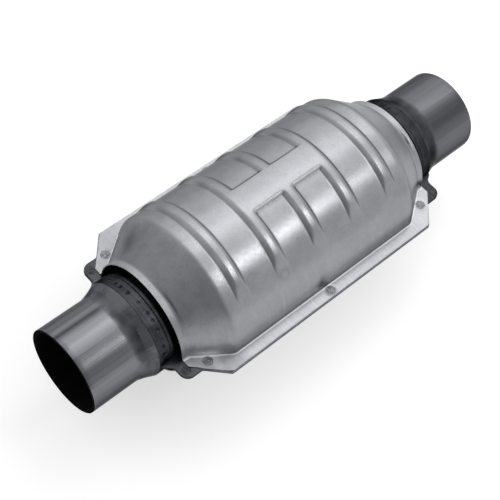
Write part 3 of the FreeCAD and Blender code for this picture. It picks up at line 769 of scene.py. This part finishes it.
def heat_shield(name, node, side):
    """One stamped half; the inside has every fifth row and every fourth column."""
    rows, shares = shield_stations(), dome_shares()
    outside = at_stations(rows, [shield_section(x, shares, 0) for x in rows])
    flange_dents(outside)
    columns = outside.shape[1]
    inner_rows = sorted(set(range(0, len(rows), 5)) | {len(rows) - 1})
    inner_columns = sorted(set(range(0, columns, 4)) | {columns - 1})
    inside = at_stations(rows[inner_rows], [shield_section(rows[i], shares, 1)[inner_columns]
                                            for i in inner_rows])
    faces = grid_faces(len(rows), columns, flip=side < 0)
    faces += grid_faces(len(inner_rows), len(inner_columns), len(rows) * columns, flip=side > 0)
    faces += sheet_edges(len(rows), columns, inner_rows, inner_columns, side > 0)
    shade_and_stain, highlight_and_wear = shield_masks(outside)
    plain = np.zeros(len(inner_rows) * len(inner_columns))
    masks = {"shade_and_stain": np.concatenate([shade_and_stain.ravel(), plain]),
             "highlight_and_wear": np.concatenate([highlight_and_wear.ravel(), plain])}
    points = np.concatenate([outside.reshape(-1, 3), inside.reshape(-1, 3)])
    points[:, 2] *= side
    return add_piece(name, points, faces, [SHIELD], [node], 40.0, masks=masks)


# Body

def shell_profile(inset):
    """Half a profile (x, r) from the middle to the mouth; inset 0 is outside and 1 inside."""
    skin = SHELL_SHEET * inset
    return rounded_line([
        (0, SHELL_R - skin), (SHELL_X, SHELL_R - skin, BODY_ROUND),
        (THROAT_X, THROAT_R - skin, THROAT_ROUND),
        (RIM_X - RIM_WIDTH - RIM_SLOPE, THROAT_R - skin, 0.8),
        (RIM_X - RIM_WIDTH, RIM_R - skin, 0.5), (RIM_X, RIM_R - skin, 0.4),
        (RIM_X + GROOVE / 2, THROAT_R - skin, 0.25), (RIM_X + GROOVE, NECK_R - skin, 0.3),
        (MOUTH_X, NECK_R - skin),
    ], 5)


def shell_outside():
    """Outer profile of the body, with close rows on the necks and rounded mouths."""
    half = [point for point in shell_profile(0) if point[0] < RIM_X + 1.2]
    half += [(x, NECK_R) for x in np.arange(RIM_X + 1.5, MOUTH_X - 0.35, 0.3)]
    half += [(MOUTH_X - 0.3, NECK_R), (MOUTH_X - 0.08, NECK_R - 0.1), (MOUTH_X, NECK_R - 0.35)]
    return both_ends(np.array(half))


def neck_dots():
    """Angle and depth, up to 1, of the punch marks round a neck, unevenly spaced."""
    draw = random.Random(11)
    dots = list(SEEN_DOTS)
    while dots[-1][0] < 396.0:
        dots.append((dots[-1][0] + draw.uniform(8.5, 13.5), draw.uniform(0.4, 1.0)))
    return dots


def punch_marks(x, angle, side):
    """Depth of the punch marks on both necks, weaker on the outlet's."""
    marks = np.zeros(np.broadcast(x, angle).shape)
    for end in (-1, 1):
        for k, (theta, depth) in enumerate(neck_dots()):
            depth *= 1.0 if end < 0 else 0.45
            theta = (theta if end < 0 else theta + 4.0) % 360
            theta = theta if side > 0 else 360 - theta
            along = x - end * (DOTS_X + 0.5 * math.sin(7.0 * k))
            across = (np.degrees(angle) - theta) * math.radians(NECK_R)
            marks += depth * np.exp(-(np.hypot(along, across) / DOT_R) ** 4)
    return marks


def body_shell(name, node, side):
    """One clamshell half: turned wall with the dimpled neck bands, and the seam flange."""
    angle = np.linspace(0, math.pi, SHELL_COLUMNS)
    outside, inside = shell_outside(), both_ends(shell_profile(1))
    dots = punch_marks(outside[:, :1], angle, side)
    outer = turned(outside[:, :1], outside[:, 1:] - DOT_DEPTH * dots, angle)
    inner = turned(inside[:, :1], inside[:, 1:], angle)
    start = len(outside) * SHELL_COLUMNS
    last, inner_last = start - SHELL_COLUMNS, start + (len(inside) - 1) * SHELL_COLUMNS
    faces = grid_faces(len(outside), SHELL_COLUMNS, flip=side < 0)
    faces += grid_faces(len(inside), SHELL_COLUMNS, start, flip=side > 0)
    faces += strip_faces(0, start, SHELL_COLUMNS, flip=side < 0)
    faces += strip_faces(last, inner_last, SHELL_COLUMNS, flip=side > 0)
    points = np.concatenate([outer.reshape(-1, 3), inner.reshape(-1, 3)])
    plate_points, plate_faces = seam_flange(side > 0)
    faces += [tuple(i + len(points) for i in face) for face in plate_faces]
    points = np.concatenate([points, plate_points])
    points[:, 2] *= side
    shade_and_stain = np.zeros(len(points))
    shade_and_stain[:dots.size] = dots.ravel()
    return add_piece(name, points, faces, [BODY], [node], 35.0, masks={"shade_and_stain": shade_and_stain})


def seam_outline():
    """Edge (x, y) of the flange and its ears on one side, with more points on the long runs."""
    quarter = rounded_line([
        (0, FLANGE_Y + FLANGE_STEP),
        (FLANGE_CORNER_X + FLANGE_STEP / 2, FLANGE_Y + FLANGE_STEP, FLANGE_CORNER_ROUND),
        (EAR_ROOT_X, EAR_Y, EAR_ROOT_ROUND), (EAR_X, EAR_Y, EAR_ROUND),
        (EAR_X, NECK_R + 5.0, EAR_INSIDE_ROUND),
        (MOUTH_X - 0.6, NECK_R + 1.3, 0.9), (MOUTH_X - 0.6, NECK_R - 2.0),
    ], 8)
    dense = [quarter[0]]
    for point in quarter[1:]:
        first = dense[-1]
        steps = max(1, int(np.linalg.norm(point - first) // 3))
        dense += [first + (point - first) * k / steps for k in range(1, steps + 1)]
    return both_ends(np.array(dense))


def seam_flange(upward):
    """Both long sides of the seam flange with their ears, as a plate with a soft upper edge."""
    path = seam_outline()
    run = np.gradient(path, axis=0)
    run /= np.linalg.norm(run, axis=1)[:, None]
    normal = np.stack([-run[:, 1], run[:, 0]], 1)
    line = shell_profile(0)
    wall = np.interp(np.abs(path[:, 0]), line[:, 0], line[:, 1]) - PLATE_SINK
    inner = np.stack([path[:, 0], np.minimum(wall, path[:, 1])], 1)
    edge = path - normal * EDGE_ROUND
    rings = [(path, 0.0), (path, SHELL_SHEET - EDGE_ROUND),
             (path - normal * EDGE_CUT, SHELL_SHEET - EDGE_CUT), (edge, SHELL_SHEET)]
    rings += [(edge + (inner - edge) * share, SHELL_SHEET) for share in (0.25, 0.5, 0.75, 1.0)]
    rings.append((inner, 0.0))
    points, faces = [], []
    for mirrored in (1, -1):
        start = len(points) * len(path)
        for flat, height in rings:
            points.append(np.column_stack([flat * (1, mirrored), np.full(len(flat), height)]))
        last = start + (len(rings) - 1) * len(path)
        flip = (mirrored > 0) == upward
        faces += grid_faces(len(rings), len(path), start, flip=not flip)
        faces += strip_faces(last, start, len(path), flip)
    return np.concatenate(points), faces


# Pipes, beads and weld marks

def pipe_profile():
    """Closed section (x, r): outside from mouth to spigot, then the inside back again."""
    flare = np.linspace(0, 1, 23)
    rise = (flare * flare * (3 - 2 * flare)) ** 0.9
    outside = [(PIPE_END - 0.02, PIPE_R - 0.45), (PIPE_END, PIPE_R - 0.3),
               (PIPE_END - 0.08, PIPE_R - 0.08), (PIPE_END - 0.3, PIPE_R)]
    outside += [(x, PIPE_R) for x in np.linspace(PIPE_END - 4, FLARE_START + 0.6, 16)]
    outside += [(FLARE_START - s * (FLARE_START - MOUTH_X), PIPE_R + r * (SPIGOT_R - PIPE_R))
                for s, r in zip(flare, rise)]
    outside += [(SPIGOT_X, SPIGOT_R)]
    inside = [(x, r - PIPE_WALL) for x, r in outside[4:]][::-1]
    bore = PIPE_R - PIPE_WALL
    inside += [(PIPE_END - 0.4, bore), (PIPE_END - 0.05, bore + 0.12), (PIPE_END, bore + 0.4)]
    return np.array(outside + inside), len(outside)


def pipe_shade_and_highlights(along, theta, side):
    """Two masks over a pipe: bands of painted shade with blotches of heat by the bead, and bands
    of painted highlight with a painted glint.
    """
    tube = smooth_clamp((along - 137) / 6, 0.1)
    if side < 0:
        dark = 0.8 * bell(theta - 74, 4) + 0.35 * bell(theta - 134, 5) + 0.15 * bell(theta - 50, 8)
        dark = dark + 0.2 * bell(theta - 120, 8)
        light = 0.4 * bell(theta - 102, 6) + 0.2 * bell(theta - 121, 7)
        light = light + 0.15 * bell(theta - 84, 3)
        blotch = 0.2 + 0.6 * bell(theta - 128, 12) + 0.25 * bell(theta - 55, 16)
        glint = 0.4 * bell(along - 130.5, 3.0) * bell(theta - 99, 12)
        return dark * tube + bell(along - 133, 4.0) * blotch, light * tube + glint
    # The outlet's tube: painted shade all over and in a band, heat by the bead, and one thin
    # painted highlight
    dark = 0.28 + 0.4 * bell(theta - 125, 17)
    heat = 0.4 + 0.3 * smooth_clamp((theta - 65) / 20, 0.1)
    return dark * tube + heat * bell(along - 133, 6.5), 0.35 * bell(theta - 101, 1.6) * tube


def pipe(name, node, side):
    """A pipe, slightly out of round past its flare, with an inside black as soot and as painted
    shade.
    """
    profile, outer_rows = pipe_profile()
    rows = len(profile)
    points = turned(profile[:, :1], profile[:, 1:], full_turn(PIPE_SEGMENTS)).reshape(-1, 3)
    faces = grid_faces(rows, PIPE_SEGMENTS, around=True)
    faces += strip_faces((rows - 1) * PIPE_SEGMENTS, 0, PIPE_SEGMENTS, around=True)
    angle = np.arctan2(points[:, 2], points[:, 1])
    along = np.abs(points[:, 0])
    lobes = 0.06 * np.sin(3 * angle + 0.7) + 0.04 * np.sin(5 * angle + 2.0 * side)
    lobes *= np.clip((along - FLARE_START) / 20, 0, 1)
    points[:, 1:] *= (1 + lobes / PIPE_R)[:, None]
    points[:, 0] *= side
    if side > 0:
        faces = [face[::-1] for face in faces]
    inside = [int(outer_rows - 1 <= index // PIPE_SEGMENTS < rows - 2)
              for index in range(len(faces))]
    dark, light = pipe_shade_and_highlights(along, np.degrees(angle) % 360, side)
    masks = {"shade_and_stain": np.clip(dark, 0, 1), "highlight_and_wear": np.clip(light, 0, 1)}
    return add_piece(name, points, faces, [PIPE, INSIDE], [node], 35.0, inside, masks)


def bead(name, node, side):
    """Low rippled bead where the neck's mouth meets the pipe; its hidden corners stay even."""
    turn = full_turn(BEAD_SEGMENTS)
    rows = len(BEAD_SHAPE)
    along, lift = np.array(BEAD_SHAPE).T[:, :, None]
    swell = 1 + 0.07 * np.sin(turn * 72 + np.sin(turn * 3)) + 0.1 * np.sin(turn * 5 + 1)
    grow = np.tile(swell, (rows, 1))
    grow[[0, -2, -1]] = 1.0
    x = side * (MOUTH_X + 0.02 + along * (0.85 + 0.15 * grow))
    points = turned(x, SPIGOT_R + lift + 0.2 * (grow - 1), turn).reshape(-1, 3)
    faces = grid_faces(rows, BEAD_SEGMENTS, around=True, flip=side > 0)
    shade_and_stain = np.full(len(points), 0.65 if side > 0 else 0.1)
    return add_piece(name, points, faces, [PIPE], [node], 60.0, masks={"shade_and_stain": shade_and_stain})


def weld_marks(name, node, material, places, level, radius, seed):
    """Round marks with rings, at a level above and below the seam."""
    draw = random.Random(seed)
    points, faces = [], []
    for x, y in places:
        for side in (-1, 1):
            phase = draw.uniform(0, 6)
            start = len(points)
            points.append((x, y, side * (level - 0.06)))
            for i in range(1, MARK_RINGS + 1):
                share = i / MARK_RINGS
                lift = -0.08
                if share < 1:
                    lift = 0.065 * math.cos(share * math.pi * 5) * (1 - share) ** 0.3
                for j in range(MARK_SEGMENTS):
                    turn = 2 * math.pi * j / MARK_SEGMENTS
                    wobble = 1 + 0.05 * math.sin(2 * turn + phase) * share
                    points.append((x + radius * share * wobble * math.cos(turn),
                                   y + radius * share * wobble * math.sin(turn),
                                   side * (level + lift)))
            for j in range(MARK_SEGMENTS):
                k = (j + 1) % MARK_SEGMENTS
                fan = [(start, start + 1 + j, start + 1 + k)]
                for i in range(MARK_RINGS - 1):
                    a, b = start + 1 + i * MARK_SEGMENTS + j, start + 1 + i * MARK_SEGMENTS + k
                    fan.append((a, a + MARK_SEGMENTS, b + MARK_SEGMENTS, b))
                faces += [face if side > 0 else face[::-1] for face in fan]
    return add_piece(name, points, faces, [material], [node], 60.0)


# Honeycombs

def rectangle(y_low, y_high, z_low, z_high):
    return [(y_low, z_low), (y_high, z_low), (y_high, z_high), (y_low, z_high)]


def honeycomb_cells(half):
    """Numbers (i, j) of the cells that lie wholly inside the skin, in order."""
    span = int(BRICK_R // CELL_PITCH) + 1
    cells = []
    for i in range(-span, span + 1):
        for j in range(-span, span + 1):
            corner = math.hypot(abs(i) * CELL_PITCH + half, abs(j) * CELL_PITCH + half)
            if corner < BRICK_R - CELL_MARGIN:
                cells.append((i, j))
    return cells


def wall_ends(i, j, cells, half):
    """Rectangles that close the walls past a cell, at the two sides of rising i and j."""
    y, z = i * CELL_PITCH, j * CELL_PITCH
    y_wall = (y + half, y + half + CELL_WALL)
    z_wall = (z + half, z + half + CELL_WALL)
    beside, above = (i + 1, j) in cells, (i, j + 1) in cells
    ends = []
    if beside:
        ends.append(rectangle(*y_wall, z - half, z + half))
    if above:
        ends.append(rectangle(y - half, y + half, *z_wall))
    if beside and above and (i + 1, j + 1) in cells:
        ends.append(rectangle(*y_wall, *z_wall))
    return ends


def honeycomb(name, node, side):
    """Thin-walled square cells open from end to end, inside a skin."""
    half = (CELL_PITCH - CELL_WALL) / 2
    order = honeycomb_cells(half)
    cells = set(order)
    points, index, faces = [], {}, []

    def spot(x, y, z):
        key = (round(x, 3), round(y, 3), round(z, 3))
        if key not in index:
            index[key] = len(points)
            points.append(key)
        return index[key]

    for i, j in order:
        y, z = i * CELL_PITCH, j * CELL_PITCH
        ring = rectangle(y - half, y + half, z - half, z + half)
        for first, second in zip(ring, ring[1:] + ring[:1]):
            faces.append((spot(BRICK_NEAR, *second), spot(BRICK_NEAR, *first),
                          spot(BRICK_FAR, *first), spot(BRICK_FAR, *second)))
    for x in (BRICK_NEAR, BRICK_FAR):
        for i, j in order:
            for ring in wall_ends(i, j, cells, half):
                face = [spot(x, *corner) for corner in ring]
                faces.append(face if x == BRICK_FAR else face[::-1])

    # Skin: outer and inner ring at both ends; the outer wall and the two end rings close it
    rings = []
    for x in (BRICK_NEAR, BRICK_FAR):
        for radius in (BRICK_R, BRICK_R - BRICK_SKIN):
            rings.append(len(points))
            for k in range(BRICK_SEGMENTS):
                turn = 2 * math.pi * k / BRICK_SEGMENTS
                points.append((x, radius * math.cos(turn), radius * math.sin(turn)))
    for low, high in ((0, 2), (1, 0), (2, 3)):
        faces += strip_faces(rings[low], rings[high], BRICK_SEGMENTS, around=True)
    cloud = np.array(points, float)
    cloud[:, 0] *= side
    if side < 0:
        faces = [tuple(face)[::-1] for face in faces]
    return add_piece(name, cloud, faces, [CERAMIC], [node], 20.0)


heat_shield("shield_skin_upper", "heat_shield_upper", 1)
heat_shield("shield_skin_lower", "heat_shield_lower", -1)
body_shell("body_skin_upper", "shell_upper", 1)
body_shell("body_skin_lower", "shell_lower", -1)
pipe("inlet_tube", "inlet_pipe", -1)
pipe("outlet_tube", "outlet_pipe", 1)
bead("inlet_bead", "inlet_weld", -1)
bead("outlet_bead", "outlet_weld", 1)
weld_marks("shield_weld_marks", "shield_spot_welds", SPOT, WELD_PLACES,
           FLANGE_TOP - WELD_SINK, WELD_R, seed=3)
weld_marks("ear_weld_marks", "ear_spot_welds", EAR_SPOT, EAR_WELD_PLACES,
           SHELL_SHEET + EAR_WELD_RISE, EAR_WELD_R, seed=9)
honeycomb("front_honeycomb", "front_substrate", -1)
honeycomb("rear_honeycomb", "rear_substrate", 1)

# Inner pieces that keep their CAD mesh
CARRIED = {"inlet_inner_cone": INSIDE, "outlet_inner_cone": INSIDE, "spacer_ring": BODY,
           "front_mat": MAT, "rear_mat": MAT, "front_mat_inlet_seal": MESH,
           "front_mat_inner_seal": MESH, "rear_mat_inner_seal": MESH, "rear_mat_outlet_seal": MESH}
for node, material in CARRIED.items():
    mesh = frame["nodes"][node].data
    mesh.materials.clear()
    mesh.materials.append(material)


# Studio

def floor():
    """A white floor that takes a soft shadow; its glow shows to the camera and in reflections."""
    size, level = FLOOR_SIZE, FLOOR_LEVEL
    mesh = bpy.data.meshes.new("floor")
    mesh.from_pydata([(-size, -size, level), (size, -size, level), (size, size, level),
                      (-size, size, level)], [], [(0, 1, 2, 3)])
    obj = bpy.data.objects.new("floor", mesh)
    bpy.context.scene.collection.objects.link(obj)
    material = bpy.data.materials.new("floor")
    material.use_nodes = True
    n = Nodes(material.node_tree)
    path = n.add("ShaderNodeLightPath")
    seen = n.math("MAXIMUM", path.outputs["Is Camera Ray"], path.outputs["Is Glossy Ray"])
    seen = n.math("MAXIMUM", seen, path.outputs["Is Transmission Ray"])
    matt = n.add("ShaderNodeBsdfDiffuse", {"Color": grey(0.6)})
    glow = n.add("ShaderNodeEmission", {"Color": grey(1.0), "Strength": n.times(seen, 0.52)})
    both = n.add("ShaderNodeAddShader", {0: matt.outputs[0], 1: glow.outputs[0]})
    n.add("ShaderNodeOutputMaterial", {"Surface": both.outputs[0]})
    mesh.materials.append(material)


def lamp(name, place, target, size, radiance):
    """A soft box; an evenly lit white wall in front of it alone would show that radiance."""
    data = bpy.data.lights.new(name, "AREA")
    data.shape = "RECTANGLE"
    data.size, data.size_y = size
    data.energy = radiance * math.pi * size[0] * size[1]
    obj = bpy.data.objects.new(name, data)
    obj.location = place
    obj.rotation_mode = "QUATERNION"
    aim = Vector(target) - Vector(place)
    obj.rotation_quaternion = aim.to_track_quat("-Z", "Y")
    bpy.context.scene.collection.objects.link(obj)


def camera():
    """The camera that was fitted to the photo's outlines."""
    data = bpy.data.cameras.new("camera")
    data.sensor_width = CAMERA_SENSOR
    data.lens = CAMERA_LENS
    data.clip_start, data.clip_end = 0.05, 20.0
    obj = bpy.data.objects.new("camera", data)
    turn = Matrix([Vector(axis) for axis in CAMERA_AXES]).transposed().to_4x4()
    obj.matrix_world = Matrix.Translation(Vector(CAMERA_PLACE)) @ turn
    bpy.context.scene.collection.objects.link(obj)
    bpy.context.scene.camera = obj


def world():
    """Soft grey room, lighter towards +X, where the lamps stand."""
    sky = bpy.data.worlds.new("studio")
    sky.use_nodes = True
    n = Nodes(sky.node_tree)
    place = n.add("ShaderNodeTexCoord").outputs["Generated"]
    x, y, z = n.add("ShaderNodeSeparateXYZ", {0: place}).outputs
    rise = n.times(n.remap(z, 0.0, 0.45, 0.0, 0.5), n.remap(y, -0.6, 0.5, 0.25, 1.0))
    gap = n.times(n.remap(z, 0.25, 0.65, 0.0, 0.55), n.remap(y, -0.35, 0.1, 1.0, 0.0))
    side = n.times(n.remap(x, -0.4, 0.8, 0.0, 0.7), n.math("SUBTRACT", 1.0, gap))
    level = n.plus(n.plus(side, 0.27), rise)
    light = n.add("ShaderNodeBackground", {"Color": grey(1.0), "Strength": level})
    n.add("ShaderNodeOutputWorld", {"Surface": light.outputs[0]})
    bpy.context.scene.world = sky


floor()
camera()
world()
lamp("overhead", (0.55, 0.2, 1.05), (0.55, 0.2, 0.0), (0.7, 1.5), 0.7)
lamp("strip", (0.4, 0.2, 1.0), (0.4, 0.2, 0.0), (0.7, 0.3), 1.0)
lamp("key", (0.58, -0.8, 1.05), (0.4, -0.6, 0.0), (0.4, 0.34), 6.7)
bpy.context.scene.view_settings.view_transform = "Standard"
